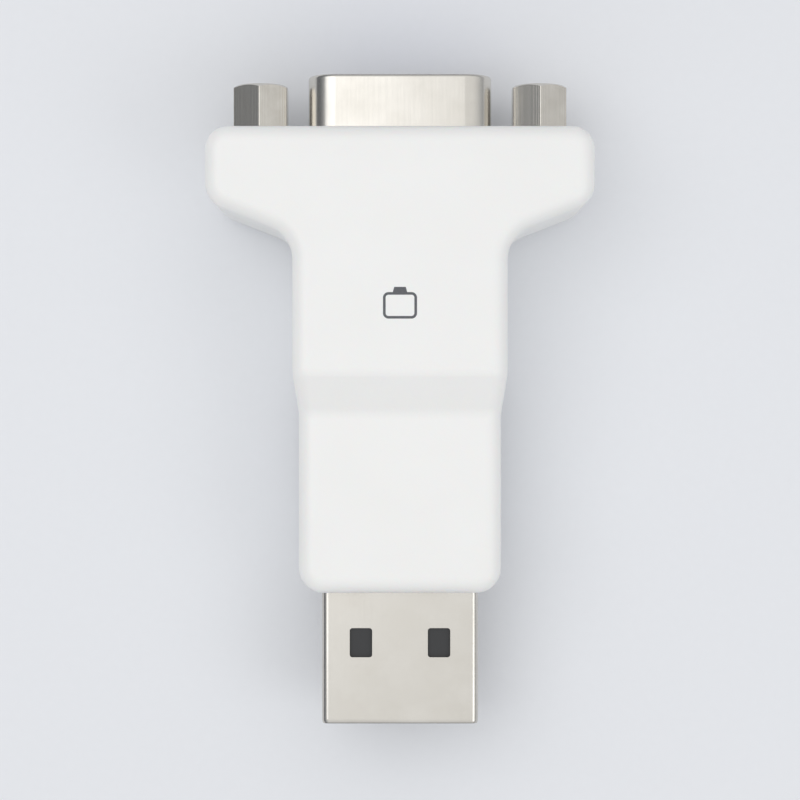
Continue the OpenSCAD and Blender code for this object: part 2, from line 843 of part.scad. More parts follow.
top_shell();
bottom_shell();
circuit_board();
hdmi_shell();
hdmi_insulator();
hdmi_upper_contacts();
hdmi_lower_contacts();
vga_front_shell();
vga_rear_shell();
vga_front_insulator();
vga_rear_insulator();
vga_top_contacts();
vga_middle_contacts();
vga_bottom_contacts();
left_jackscrew();
right_jackscrew();
left_lock_washer();
right_lock_washer();
left_threaded_insert();
right_threaded_insert();
converter_chip();
flash_chip();
crystal();
voltage_regulator();
esd_arrays();
capacitors();
resistors();
ferrite_beads();
power_inductor();
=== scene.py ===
# HDMI plug to VGA socket converter, seen from straight above with its VGA end at the top.
# The CAD parts come in as a fixed frame. Lengths below are in millimetres unless a note says otherwise.
import math

import bmesh
import bpy
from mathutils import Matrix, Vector


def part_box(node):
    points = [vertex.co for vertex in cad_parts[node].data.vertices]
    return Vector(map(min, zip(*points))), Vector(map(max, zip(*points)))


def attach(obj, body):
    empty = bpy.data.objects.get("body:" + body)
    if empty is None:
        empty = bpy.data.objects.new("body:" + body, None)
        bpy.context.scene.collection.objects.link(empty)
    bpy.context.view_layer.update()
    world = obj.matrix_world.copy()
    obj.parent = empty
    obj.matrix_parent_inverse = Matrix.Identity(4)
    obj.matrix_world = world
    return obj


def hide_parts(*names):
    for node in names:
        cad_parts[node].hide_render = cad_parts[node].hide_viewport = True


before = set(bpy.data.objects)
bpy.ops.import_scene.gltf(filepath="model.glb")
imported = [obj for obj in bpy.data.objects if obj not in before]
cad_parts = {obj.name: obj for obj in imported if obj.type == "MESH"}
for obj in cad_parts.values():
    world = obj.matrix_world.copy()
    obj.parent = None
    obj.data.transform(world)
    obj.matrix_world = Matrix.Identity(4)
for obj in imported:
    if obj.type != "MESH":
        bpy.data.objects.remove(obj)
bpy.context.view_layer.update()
print("frame loaded:", len(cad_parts), "CAD nodes")

mm = 0.001
slip = 0.05  # clearance between pieces that fit into each other


# A CAD part's lowest and highest place along an axis, to the micrometre
def extent(node, axis):
    return [round(corner["XYZ".index(axis)] / mm, 3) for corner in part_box(node)]


def width(node, axis):
    low, high = extent(node, axis)
    return round(high - low, 3)


# Stations along the part: the ends of CAD parts, and the bends of the housing by their distances
lengths = {"nose": 15.8, "ramp": 3.5, "neck": 12.0, "shoulder": 3.0, "rearSheet": 0.5}
along = {"tip": extent("hdmi_shell", "Y")[0], "plugEnd": extent("hdmi_insulator", "Y")[1] + slip,
         "nose": extent("top_shell", "Y")[0], "face": extent("top_shell", "Y")[1],
         "plates": extent("vga_front_shell", "Y")[0], "end": extent("vga_front_shell", "Y")[1],
         "flange": extent("left_lock_washer", "Y")[0], "screwFoot": extent("left_lock_washer", "Y")[1],
         "insulatorFace": extent("vga_front_insulator", "Y")[1]}
along["ramp"] = along["nose"] + lengths["nose"]
along["neck"] = along["ramp"] + lengths["ramp"]
along["shoulder"] = along["neck"] + lengths["neck"]
along["head"] = along["shoulder"] + lengths["shoulder"]
along["rearPlate"] = along["plates"] - lengths["rearSheet"]
roofZ = extent("top_shell", "Z")[1]
midZ = roofZ / 2
screwX = sum(extent("right_jackscrew", "X")) / 2


# Colours, nodes and materials

def linear(hexColour):
    shares = [int(hexColour[i:i + 2], 16) / 255 for i in (1, 3, 5)]
    return [c / 12.92 if c <= 0.04045 else ((c + 0.055) / 1.055) ** 2.4 for c in shares] + [1.0]


def perMm(size):
    return 1000.0 / size  # a texture scale whose features are about this many millimetres


# Settings are the node's own or values for its inputs; links are sources for its inputs.
# An input is named by its label, or by its number where several share a label.
def addNode(tree, kind, settings=None, links=None):
    node = tree.nodes.new(kind)
    for key, value in (settings or {}).items():
        if isinstance(key, str) and hasattr(node, key):
            setattr(node, key, value)
        else:
            node.inputs[key].default_value = value
    for key, source in (links or {}).items():
        tree.links.new(source, node.inputs[key])
    return node


# A material with its shader, and the Object coordinates that its patterns read
def startMaterial(name, shader):
    material = bpy.data.materials.new(name)
    material.use_nodes = True
    tree = material.node_tree
    tree.nodes.clear()
    bsdf = addNode(tree, "ShaderNodeBsdfPrincipled", shader)
    addNode(tree, "ShaderNodeOutputMaterial", links={"Surface": bsdf.outputs[0]})
    place = addNode(tree, "ShaderNodeTexCoord").outputs["Object"]
    material.diffuse_color = shader["Base Color"]
    return material, tree, bsdf, place


# Joins a colour spread, a roughness spread and a relief to a shader, each from a grey pattern
def dress(tree, bsdf, colours, roughness, relief):
    pattern, first, second = colours
    mixed = addNode(tree, "ShaderNodeMix", {"data_type": "RGBA", 6: linear(first), 7: linear(second)},
                    {0: pattern})
    tree.links.new(mixed.outputs[2], bsdf.inputs["Base Color"])
    pattern, low, high = roughness
    spread = addNode(tree, "ShaderNodeMapRange", {"To Min": low, "To Max": high}, {"Value": pattern})
    tree.links.new(spread.outputs[0], bsdf.inputs["Roughness"])
    pattern, depth = relief
    raised = addNode(tree, "ShaderNodeBump", {"Strength": 1.0, "Distance": depth * mm}, {"Height": pattern})
    tree.links.new(raised.outputs[0], bsdf.inputs["Normal"])


# Injection-moulded ABS: a bright white satin skin with the fine even grain of a spark-eroded mould, drawn
# about twice as coarse as the real 0.15 mm so that it shows, and painted shade in the parting line and other
# hollows
whiteAbs, tree, bsdf, place = startMaterial("whiteAbsMoulded", {
    "Base Color": linear("#F3F3F2"), "Roughness": 0.42, "IOR": 1.53,
    "Subsurface Weight": 0.06, "Subsurface Scale": 0.8 * mm})
flow = addNode(tree, "ShaderNodeTexNoise", {"Scale": perMm(7), "Detail": 2.0}, {"Vector": place})
patch = addNode(tree, "ShaderNodeTexNoise", {"Scale": perMm(1.6), "Detail": 3.0}, {"Vector": place})
grain = addNode(tree, "ShaderNodeTexNoise", {"Scale": perMm(0.28), "Detail": 2.0}, {"Vector": place})
dress(tree, bsdf, (flow.outputs[0], "#F5F5F4", "#F1F1EF"), (patch.outputs[0], 0.37, 0.47),
      (grain.outputs[0], 0.009))
# Painted shade: an ambient occlusion pattern darkens the colour towards #CFCDC8 in the parting line and other
# hollows, where shade falls
occlusion = addNode(tree, "ShaderNodeAmbientOcclusion", {"samples": 8, "only_local": True, "Distance": 0.5 * mm})
shadeShare = addNode(tree, "ShaderNodeMapRange", {"From Min": 0.25, "From Max": 0.75},
                {"Value": occlusion.outputs["AO"]})
unshaded = bsdf.inputs["Base Color"].links[0].from_socket
paintedShade = addNode(tree, "ShaderNodeMix", {"data_type": "RGBA", 6: linear("#CFCDC8")},
                 {0: shadeShare.outputs[0], 7: unshaded})
tree.links.new(paintedShade.outputs[2], bsdf.inputs["Base Color"])

# Pad-printed ink: flat dark grey, a little broken where the pad let go
greyInk, tree, bsdf, place = startMaterial("padPrintedInk", {
    "Base Color": linear("#55575B"), "Roughness": 0.55, "IOR": 1.5})
speck = addNode(tree, "ShaderNodeTexNoise", {"Scale": perMm(0.12), "Detail": 2.0},
                {"Vector": place}).outputs[0]
dress(tree, bsdf, (speck, "#4A4C50", "#6A6C70"), (speck, 0.5, 0.62), (speck, 0.002))

# Deep-drawn nickel-plated steel: warm grey mirror, softened by the rolling grain along the sheet,
# whose real lines of about 0.05 mm are drawn several times coarser so that they show
nickelSheet, tree, bsdf, place = startMaterial("nickelPlatedSheet", {
    "Base Color": linear("#CFCBC3"), "Metallic": 1.0, "Roughness": 0.24})
rolled = addNode(tree, "ShaderNodeMapping", {"Scale": (perMm(0.3), perMm(7.0), perMm(0.3))},
                 {"Vector": place})
lines = addNode(tree, "ShaderNodeTexNoise", {"Scale": 1.0, "Detail": 3.0}, {"Vector": rolled.outputs[0]})
smudge = addNode(tree, "ShaderNodeTexNoise", {"Scale": perMm(3.5), "Detail": 4.0},
                 {"Vector": place}).outputs[0]
dress(tree, bsdf, (smudge, "#DAD7D1", "#C6C2BA"), (smudge, 0.16, 0.3), (lines.outputs[0], 0.0025))

# Nickel-plated turned brass: brighter than the sheet, with the tool's rings round each screw's axis
nickelScrew, tree, bsdf, place = startMaterial("nickelPlatedTurned", {
    "Base Color": linear("#D8D4CC"), "Metallic": 1.0, "Roughness": 0.2})
apart = addNode(tree, "ShaderNodeSeparateXYZ", links={0: place})
side = addNode(tree, "ShaderNodeMath", {"operation": "ABSOLUTE"}, {0: apart.outputs[0]})
off = addNode(tree, "ShaderNodeMath", {"operation": "SUBTRACT", 1: screwX * mm}, {0: side.outputs[0]})
up = addNode(tree, "ShaderNodeMath", {"operation": "SUBTRACT", 1: midZ * mm}, {0: apart.outputs[2]})
spoke = addNode(tree, "ShaderNodeCombineXYZ", links={0: off.outputs[0], 1: up.outputs[0]})
radius = addNode(tree, "ShaderNodeVectorMath", {"operation": "LENGTH"}, {0: spoke.outputs[0]})
phase = addNode(tree, "ShaderNodeMath", {"operation": "MULTIPLY", 1: 2 * math.pi * perMm(0.09)},
                {0: radius.outputs["Value"]})
rings = addNode(tree, "ShaderNodeMath", {"operation": "SINE"}, {0: phase.outputs[0]})
stain = addNode(tree, "ShaderNodeTexNoise", {"Scale": perMm(1.5), "Detail": 3.0},
                {"Vector": place}).outputs[0]
dress(tree, bsdf, (stain, "#DCD8D0", "#C4BFB6"), (stain, 0.14, 0.3), (rings.outputs[0], 0.0012))

# Zinc-plated spring steel: cooler and duller than the nickel
zincSteel, tree, bsdf, place = startMaterial("zincPlatedSpringSteel", {
    "Base Color": linear("#A9ABB0"), "Metallic": 1.0, "Roughness": 0.36})
cloud = addNode(tree, "ShaderNodeTexNoise", {"Scale": perMm(0.8), "Detail": 4.0},
                {"Vector": place}).outputs[0]
dress(tree, bsdf, (cloud, "#B4B6BA", "#94969C"), (cloud, 0.28, 0.45), (cloud, 0.004))

# Turned brass: yellow, slightly tarnished in patches
turnedBrass, tree, bsdf, place = startMaterial("turnedBrass", {
    "Base Color": linear("#C8A65E"), "Metallic": 1.0, "Roughness": 0.28})
cloud = addNode(tree, "ShaderNodeTexNoise", {"Scale": perMm(1.2), "Detail": 4.0},
                {"Vector": place}).outputs[0]
dress(tree, bsdf, (cloud, "#CFAE66", "#B08D4A"), (cloud, 0.2, 0.38), (cloud, 0.003))

# Gold flash over phosphor bronze: rich yellow, polished by the strip tool
goldFlash, tree, bsdf, place = startMaterial("goldFlashedBronze", {
    "Base Color": linear("#E2B65A"), "Metallic": 1.0, "Roughness": 0.2})
cloud = addNode(tree, "ShaderNodeTexNoise", {"Scale": perMm(0.6), "Detail": 3.0},
                {"Vector": place}).outputs[0]
dress(tree, bsdf, (cloud, "#E6BC62", "#CF9F45"), (cloud, 0.14, 0.28), (cloud, 0.0015))

# Glass-filled PBT in socket blue: half-matt, with faint flow lines from the gate
bluePbt, tree, bsdf, place = startMaterial("bluePbtMoulded", {
    "Base Color": linear("#1F429C"), "Roughness": 0.4, "IOR": 1.57})
flow = addNode(tree, "ShaderNodeTexNoise", {"Scale": perMm(2.2), "Detail": 4.0, "Distortion": 0.6},
               {"Vector": place}).outputs[0]
fibre = addNode(tree, "ShaderNodeTexNoise", {"Scale": perMm(0.14), "Detail": 3.0},
                {"Vector": place}).outputs[0]
dress(tree, bsdf, (flow, "#2448A6", "#1A398C"), (flow, 0.34, 0.48), (fibre, 0.005))

# Glass-filled LCP: near-black and dry, with silky streaks
blackLcp, tree, bsdf, place = startMaterial("blackLcpMoulded", {
    "Base Color": linear("#1A1B1D"), "Roughness": 0.5, "IOR": 1.6})
drawn = addNode(tree, "ShaderNodeMapping", {"Scale": (perMm(0.2), perMm(1.6), perMm(0.2))}, {"Vector": place})
streak = addNode(tree, "ShaderNodeTexNoise", {"Scale": 1.0, "Detail": 3.0},
                 {"Vector": drawn.outputs[0]}).outputs[0]
dress(tree, bsdf, (streak, "#151618", "#26272A"), (streak, 0.42, 0.6), (streak, 0.004))

# Solder mask over copper on glass-fibre board: glossy green, raised and paler over the tracks
greenMask, tree, bsdf, place = startMaterial("greenSolderMask", {
    "Base Color": linear("#1F5C3A"), "Roughness": 0.3, "IOR": 1.5,
    "Coat Weight": 0.3, "Coat Roughness": 0.15})
tracks = addNode(tree, "ShaderNodeTexVoronoi", {
    "distance": "CHEBYCHEV", "feature": "F1", "Scale": perMm(1.4)}, {"Vector": place})
edge = addNode(tree, "ShaderNodeMapRange", {"From Min": 0.36, "From Max": 0.4},
               {"Value": tracks.outputs["Distance"]}).outputs[0]
dress(tree, bsdf, (edge, "#256A45", "#174A2E"), (edge, 0.24, 0.34), (edge, 0.02))

# Transfer-moulded epoxy: charcoal, finely pitted
epoxyPackage, tree, bsdf, place = startMaterial("epoxyPackage", {
    "Base Color": linear("#242528"), "Roughness": 0.6, "IOR": 1.55})
pits = addNode(tree, "ShaderNodeTexNoise", {"Scale": perMm(0.1), "Detail": 2.0}, {"Vector": place}).outputs[0]
dress(tree, bsdf, (pits, "#1F2023", "#2E2F33"), (pits, 0.5, 0.7), (pits, 0.006))

# Stamped and lapped lid: satin silver, its lapping lines drawn a few times coarser so that they show
crystalLid, tree, bsdf, place = startMaterial("satinNickelLid", {
    "Base Color": linear("#C9CBCD"), "Metallic": 1.0, "Roughness": 0.32})
brushed = addNode(tree, "ShaderNodeMapping", {"Scale": (perMm(1.2), perMm(0.06), perMm(0.06))},
                  {"Vector": place})
lines = addNode(tree, "ShaderNodeTexNoise", {"Scale": 1.0, "Detail": 2.0},
                {"Vector": brushed.outputs[0]}).outputs[0]
dress(tree, bsdf, (lines, "#D2D4D6", "#B9BBBD"), (lines, 0.25, 0.4), (lines, 0.002))

# Fired ceramic: dry tan
tanCeramic, tree, bsdf, place = startMaterial("firedCeramic", {
    "Base Color": linear("#A98558"), "Roughness": 0.55, "IOR": 1.7})
speck = addNode(tree, "ShaderNodeTexNoise", {"Scale": perMm(0.15), "Detail": 2.0},
                {"Vector": place}).outputs[0]
dress(tree, bsdf, (speck, "#B28F62", "#95744A"), (speck, 0.48, 0.62), (speck, 0.004))

# Pressed and sintered ferrite: dark grey, slightly granular
greyFerrite, tree, bsdf, place = startMaterial("sinteredFerrite", {
    "Base Color": linear("#3A3C3F"), "Roughness": 0.65, "IOR": 1.8})
speck = addNode(tree, "ShaderNodeTexNoise", {"Scale": perMm(0.12), "Detail": 3.0},
                {"Vector": place}).outputs[0]
dress(tree, bsdf, (speck, "#333538", "#47494D"), (speck, 0.55, 0.75), (speck, 0.008))

print("materials made:", len(bpy.data.materials))


# Outlines: closed paths of [x, y, corner radius], listed anticlockwise

# Each corner with its radius, the directions into and out of it, the side it turns to and its angle
def corners(path):
    for i, (x, y, r) in enumerate(path):
        here = Vector((x, y))
        before, after = Vector(path[i - 1][:2]), Vector(path[(i + 1) % len(path)][:2])
        inWay, outWay = (here - before).normalized(), (after - here).normalized()
        cross = inWay.x * outWay.y - inWay.y * outWay.x
        yield here, r, inWay, outWay, math.copysign(1.0, cross), math.acos(max(-1, min(1, inWay.dot(outWay))))


def leftOf(way):
    return Vector((-way.y, way.x))


def insetPath(path, depth):
    made = []
    for here, r, inWay, outWay, turn, angle in corners(path):
        a, b = leftOf(inWay), leftOf(outWay)
        p = here + depth * (a + b) / (1 + a.dot(b))
        made.append((p.x, p.y, r - turn * depth))
    return made


def roundPath(path, steps):
    points = []
    for here, r, inWay, outWay, turn, angle in corners(path):
        arm = leftOf(inWay) * turn * r
        centre = here - inWay * r * math.tan(angle / 2) + arm
        for k in range(steps + 1):
            a = turn * angle * k / steps
            points.append(centre + Vector((-arm.x * math.cos(a) + arm.y * math.sin(a),
                                           -arm.x * math.sin(a) - arm.y * math.cos(a))))
    return points


# A four-sided path whose short sides lean in towards its floor, as wide as given once rounded
def leaningPath(wide, height, r, lean=0):
    lean = math.radians(lean)
    x = wide / 2 + r * (math.tan(lean) + 1 / math.cos(lean) - 1)
    skew = height * math.tan(lean)
    return [(x, height / 2, r), (-x, height / 2, r), (skew - x, -height / 2, r), (x - skew, -height / 2, r)]


def circlePath(radius, count, x=0.0):
    turns = [2 * math.pi * k / count for k in range(count)]
    return [Vector((x + radius * math.cos(a), radius * math.sin(a))) for a in turns]


# The outline of a strip of even width along an open line of points
def stripPath(line, wide):
    sides = []
    for turn in (1, -1):
        side = []
        for i, here in enumerate(line):
            before = (here - line[i - 1]).normalized() if i else (line[1] - here).normalized()
            after = (line[i + 1] - here).normalized() if i < len(line) - 1 else before
            a, b = leftOf(before), leftOf(after)
            side.append(here + turn * wide / 2 * (a + b) / (1 + a.dot(b)))
        sides.append(side)
    return sides[0] + sides[1][::-1]


# Sines and cosines over a quarter turn, for a bend or a rounded edge
def quarter(steps):
    turns = [math.radians(90 * k / steps) for k in range(steps + 1)]
    return [(math.sin(a), math.cos(a)) for a in turns]


# Meshes from rings of points

def facing(outline, y):
    return [Vector((p[0], y, midZ + p[1])) for p in outline]  # an outline of x and height, stood at y


def lying(outline, z, x=0.0, y=0.0):
    return [Vector((x + p[0], y + p[1], z)) for p in outline]  # an outline of x and y, laid at z


def addRing(bm, points):
    return [bm.verts.new(p * mm) for p in points]


def bridge(bm, first, second):
    for i in range(len(first)):
        j = (i + 1) % len(first)
        bm.faces.new((first[i], first[j], second[j], second[i]))


def fillLoops(bm, loops):
    edges = []
    for loop in loops:
        for i in range(len(loop)):
            pair = (loop[i], loop[(i + 1) % len(loop)])
            edges.append(bm.edges.get(pair) or bm.edges.new(pair))
    bmesh.ops.triangle_fill(bm, use_beauty=True, use_dissolve=False, edges=edges)


def newObject(name, mesh):
    made = bpy.data.objects.new(name, mesh)
    bpy.context.collection.objects.link(made)
    return made


def finishMesh(bm, name, material=None):
    bmesh.ops.remove_doubles(bm, verts=bm.verts, dist=1e-8)
    bmesh.ops.recalc_face_normals(bm, faces=bm.faces)
    mesh = bpy.data.meshes.new(name)
    bm.to_mesh(mesh)
    bm.free()
    if material:
        mesh.materials.append(material)
    return newObject(name, mesh)


# A solid through rings, whose two ends are closed by a face, by strips across, or joined to each other
def loft(name, rings, material=None, ends="face"):
    bm = bmesh.new()
    made = [addRing(bm, ring) for ring in rings]
    for first, second in zip(made, made[1:]):
        bridge(bm, first, second)
    if ends == "joined":
        bridge(bm, made[-1], made[0])
    for ring in (made[0], made[-1]):
        m = len(ring)
        if ends == "strips":
            for i in range(m // 2 - 1):
                bm.faces.new((ring[i], ring[i + 1], ring[m - 2 - i], ring[m - 1 - i]))
        elif ends == "face":
            bm.faces.new(ring)
    return finishMesh(bm, name, material)


def boxMesh(name, low, high, material=None):
    outline = [(low[0], low[1]), (high[0], low[1]), (high[0], high[1]), (low[0], high[1])]
    return loft(name, [lying(outline, z) for z in (low[2], high[2])], material)


# The evaluated object as a plain mesh, with its modifiers gone
def settle(obj):
    depsgraph = bpy.context.evaluated_depsgraph_get()
    mesh = bpy.data.meshes.new_from_object(obj.evaluated_get(depsgraph))
    obj.modifiers.clear()
    obj.data = mesh
    return obj


def carve(obj, cutter, operation="DIFFERENCE"):
    modifier = obj.modifiers.new("carve", "BOOLEAN")
    modifier.operation, modifier.solver, modifier.object = operation, "EXACT", cutter
    settle(obj)
    bpy.data.objects.remove(cutter)
    return obj


def joinInto(obj, extras):
    bm = bmesh.new()
    bm.from_mesh(obj.data)
    for extra in extras:
        bm.from_mesh(extra.data)
        bpy.data.objects.remove(extra)
    bm.to_mesh(obj.data)
    bm.free()
    return obj


# Smooth faces, sharp where they meet at more than the crease angle, with normals that follow the large flats
def smooth(obj, crease):
    for polygon in obj.data.polygons:
        polygon.use_smooth = True
    obj.data.set_sharp_from_angle(angle=math.radians(crease))
    weighted = obj.modifiers.new("flats", "WEIGHTED_NORMAL")
    weighted.keep_sharp, weighted.weight = True, 80
    return obj


# Runs a node tree on a new object, with its named inputs, and keeps the result as a plain mesh
def growTree(name, tree, values):
    obj = newObject(name, bpy.data.meshes.new(name))
    modifier = obj.modifiers.new(tree.name, "NODES")
    modifier.node_group = tree
    for item in tree.interface.items_tree:
        if item.item_type == "SOCKET" and item.in_out == "INPUT" and item.name in values:
            modifier[item.identifier] = values[item.name]
    return settle(obj)


def startTree(name, inputs):
    tree = bpy.data.node_groups.new(name, "GeometryNodeTree")
    tree.interface.new_socket("Geometry", in_out="INPUT", socket_type="NodeSocketGeometry")
    for label, kind in inputs:
        tree.interface.new_socket(label, in_out="INPUT", socket_type="NodeSocket" + kind)
    tree.interface.new_socket("Geometry", in_out="OUTPUT", socket_type="NodeSocketGeometry")
    return tree, addNode(tree, "NodeGroupInput").outputs


# Ends a tree: its copies are made real, given their material and handed out
def endTree(tree, geometry, material):
    real = addNode(tree, "GeometryNodeRealizeInstances", links={0: geometry}).outputs[0]
    coloured = addNode(tree, "GeometryNodeSetMaterial", links={"Geometry": real, "Material": material})
    addNode(tree, "NodeGroupOutput", links={0: coloured.outputs[0]})


# Geometry Nodes: a hole in each place of a staggered grid, such as the contacts of a D-sub face

holeTree, given = startTree("staggeredHoles", [
    ("Columns", "Int"), ("Rows", "Int"), ("Pitch", "Float"), ("Row pitch", "Float"), ("Stagger", "Float"),
    ("Height", "Float"), ("Hole", "Object"), ("Material", "Material")])
spans = []
for count, pitch in (("Columns", "Pitch"), ("Rows", "Row pitch")):
    times = addNode(holeTree, "ShaderNodeMath", {"operation": "MULTIPLY"}, {0: given[count], 1: given[pitch]})
    spans.append(addNode(holeTree, "ShaderNodeMath", {"operation": "SUBTRACT"},
                         {0: times.outputs[0], 1: given[pitch]}).outputs[0])
grid = addNode(holeTree, "GeometryNodeMeshGrid", links={
    "Size X": spans[0], "Size Y": spans[1], "Vertices X": given["Columns"], "Vertices Y": given["Rows"]})
position = addNode(holeTree, "GeometryNodeInputPosition").outputs[0]
spot = addNode(holeTree, "ShaderNodeSeparateXYZ", links={0: position})
# The middle row moves to one side and the rows above and below it to the other
fromMiddle = addNode(holeTree, "ShaderNodeMath", {"operation": "ABSOLUTE"}, {0: spot.outputs[1]})
outer = addNode(holeTree, "ShaderNodeMath", {"operation": "GREATER_THAN", 1: 0.001 * mm},
                {0: fromMiddle.outputs[0]})
signed = addNode(holeTree, "ShaderNodeMapRange", {"To Min": -1.0, "To Max": 1.0}, {"Value": outer.outputs[0]})
shiftX = addNode(holeTree, "ShaderNodeMath", {"operation": "MULTIPLY_ADD"},
                 {0: signed.outputs[0], 1: given["Stagger"], 2: spot.outputs[0]})
raised = addNode(holeTree, "ShaderNodeMath", {"operation": "ADD"}, {0: spot.outputs[1], 1: given["Height"]})
stood = addNode(holeTree, "ShaderNodeCombineXYZ", links={0: shiftX.outputs[0], 2: raised.outputs[0]})
placed = addNode(holeTree, "GeometryNodeSetPosition", links={"Geometry": grid.outputs["Mesh"],
                                                             "Position": stood.outputs[0]})
hole = addNode(holeTree, "GeometryNodeObjectInfo", links={"Object": given["Hole"]}).outputs["Geometry"]
copies = addNode(holeTree, "GeometryNodeInstanceOnPoints",
                 links={"Points": placed.outputs[0], "Instance": hole})
endTree(holeTree, copies.outputs[0], given["Material"])

# Geometry Nodes: the ridge of a screw thread, a diamond swept along a helix about Y

threadTree, given = startTree("threadRidge", [
    ("Radius", "Float"), ("Lead", "Float"), ("Turns", "Float"), ("Depth", "Float"), ("Place", "Vector"),
    ("Material", "Material")])
rise = addNode(threadTree, "ShaderNodeMath", {"operation": "MULTIPLY"}, {0: given["Lead"], 1: given["Turns"]})
helix = addNode(threadTree, "GeometryNodeCurveSpiral", {"Resolution": 40, "Reverse": True}, {
    "Rotations": given["Turns"], "Start Radius": given["Radius"], "End Radius": given["Radius"],
    "Height": rise.outputs[0]})
diamond = addNode(threadTree, "GeometryNodeCurvePrimitiveCircle", {"Resolution": 4},
                  {"Radius": given["Depth"]})
upright = addNode(threadTree, "GeometryNodeSetCurveNormal", {"mode": "Z_UP"}, {"Curve": helix.outputs[0]})
ridge = addNode(threadTree, "GeometryNodeCurveToMesh", {"Fill Caps": True},
                {"Curve": upright.outputs[0], "Profile Curve": diamond.outputs[0]})
laid = addNode(threadTree, "GeometryNodeTransform", {"Rotation": (-math.pi / 2, 0, 0)},
               {"Geometry": ridge.outputs[0], "Translation": given["Place"]})
endTree(threadTree, laid.outputs[0], given["Material"])
print("node trees made:", len(bpy.data.node_groups))


# Housing: two moulded halves round the same outline, with a shadow line where they meet.
# In the names below W is a width, L a length, T a thickness, R a radius, H a height and D a depth.
# The laps sink the ribs into the wall, and overrun and reach carry the cutters past it.
# A mouth lists the inset and the distance back from the rim of each line round it.

housing = {"wall": 1.3, "noseW": 17.8, "neckW": 18.8, "headW": width("top_shell", "X"), "rampDrop": 2.0,
           "edgeR": 1.4, "noseR": 2.2, "shoulderR": 3.0, "headR": 2.4, "faceR": 2.0, "easeR": 7.0,
           "innerR": 0.39, "seamW": 0.25, "seamD": 0.3, "tongueT": 0.6, "tongueH": 0.9,
           "edgeBreak": 0.07, "breakShare": 0.3, "openingBreak": 0.22, "overrun": 0.3, "reach": 2.0,
           "ribT": 1.0, "ledgeW": 1.2, "ledgeReach": 0.8, "sideLap": 0.01, "roofLap": 0.05,
           "cornerSteps": 12, "edgeSteps": 10, "innerSteps": 4}
plug = {"w": width("hdmi_shell", "X"), "h": width("hdmi_shell", "Z"), "floorW": 10.6, "sideH": 2.5,
        "sheet": 0.3, "r": 0.6, "legH": 1.8, "steps": 8,
        "mouth": [(0, 0.4), (0.015, 0.2), (0.05, 0.07), (0.1, 0), (0.2, 0), (0.26, 0.06), (0.3, 0.2)]}
socket = {"flangeW": width("vga_front_shell", "X"), "flangeH": width("vga_front_shell", "Z"),
          "flangeR": 1.0, "flangeBreak": 0.08, "sheet": 0.5, "lipOver": 0.7, "dW": 16.3, "dH": 7.9, "dR": 2.5,
          "lean": 10, "rootR": 0.4, "studHole": 3.1, "holeSides": 48, "steps": 8, "dSteps": 14,
          "bendSteps": 6,
          "mouth": [(0, 0.28), (0.04, 0.12), (0.13, 0.03), (0.22, 0), (0.32, 0.01), (0.42, 0.07),
                    (0.48, 0.17), (0.5, 0.3)]}

rightSide = [(housing["noseW"] / 2, along["nose"], housing["noseR"]),
             (housing["noseW"] / 2, along["ramp"], housing["easeR"]),
             (housing["neckW"] / 2, along["neck"], housing["easeR"]),
             (housing["neckW"] / 2, along["shoulder"], housing["shoulderR"]),
             (housing["headW"] / 2, along["head"], housing["headR"]),
             (housing["headW"] / 2, along["face"], housing["faceR"])]
planPath = rightSide + [(-x, y, r) for x, y, r in reversed(rightSide)]
plugPath = [(side * w / 2, z, plug["r"]) for side, w, z in (
    (1, plug["w"], plug["h"] / 2), (-1, plug["w"], plug["h"] / 2),
    (-1, plug["w"], plug["h"] / 2 - plug["sideH"]), (-1, plug["floorW"], -plug["h"] / 2),
    (1, plug["floorW"], -plug["h"] / 2), (1, plug["w"], plug["h"] / 2 - plug["sideH"]))]
facePath = leaningPath(housing["headW"] - 2 * housing["wall"], socket["flangeH"] - 2 * socket["lipOver"],
                       socket["flangeR"])
noseH = roofZ - 2 * housing["rampDrop"]
easeL = housing["easeR"] * math.tan(math.atan2(housing["neckW"] - housing["noseW"], 2 * lengths["ramp"]) / 2)


def eased(d):
    return 0 if d < -easeL else d if d > easeL else (d + easeL) ** 2 / (4 * easeL)


def halfHeight(y):
    climb = eased(y - along["ramp"]) - eased(y - along["neck"])
    return noseH / 2 + housing["rampDrop"] / lengths["ramp"] * climb


# Levels run from the inner roof down the inside, round the rim and up the outside.
# Each is an inset from the outline, a share of the half height there, and a rise beyond that.
def halfLevels(up):
    wall, inner = housing["wall"], housing["innerR"]
    edge, broken = housing["edgeR"], housing["edgeBreak"]
    keyed, keyT, seamD = housing["tongueH"], housing["tongueT"], housing["seamD"]
    start = housing["seamW"] if up else 0
    levels = [(wall + inner * (1 - s), 1, -wall - inner * (1 - c)) for s, c in quarter(housing["innerSteps"])]
    if up:
        groove = wall - keyT - slip
        levels += [(wall, 0, keyed + slip), (groove, 0, keyed + slip), (groove, 0, 0), (seamD, 0, 0),
                   (seamD, 0, start)]
    else:
        levels += [(wall, 0, -keyed), (wall - keyT, 0, -keyed), (wall - keyT, 0, 0)]
    nick = broken * housing["breakShare"]
    levels += [(broken, 0, start), (nick, 0, start + nick), (0, 0, start + broken)]
    return levels + [(edge * (1 - c), 1, edge * (s - 1)) for s, c in quarter(housing["edgeSteps"])]


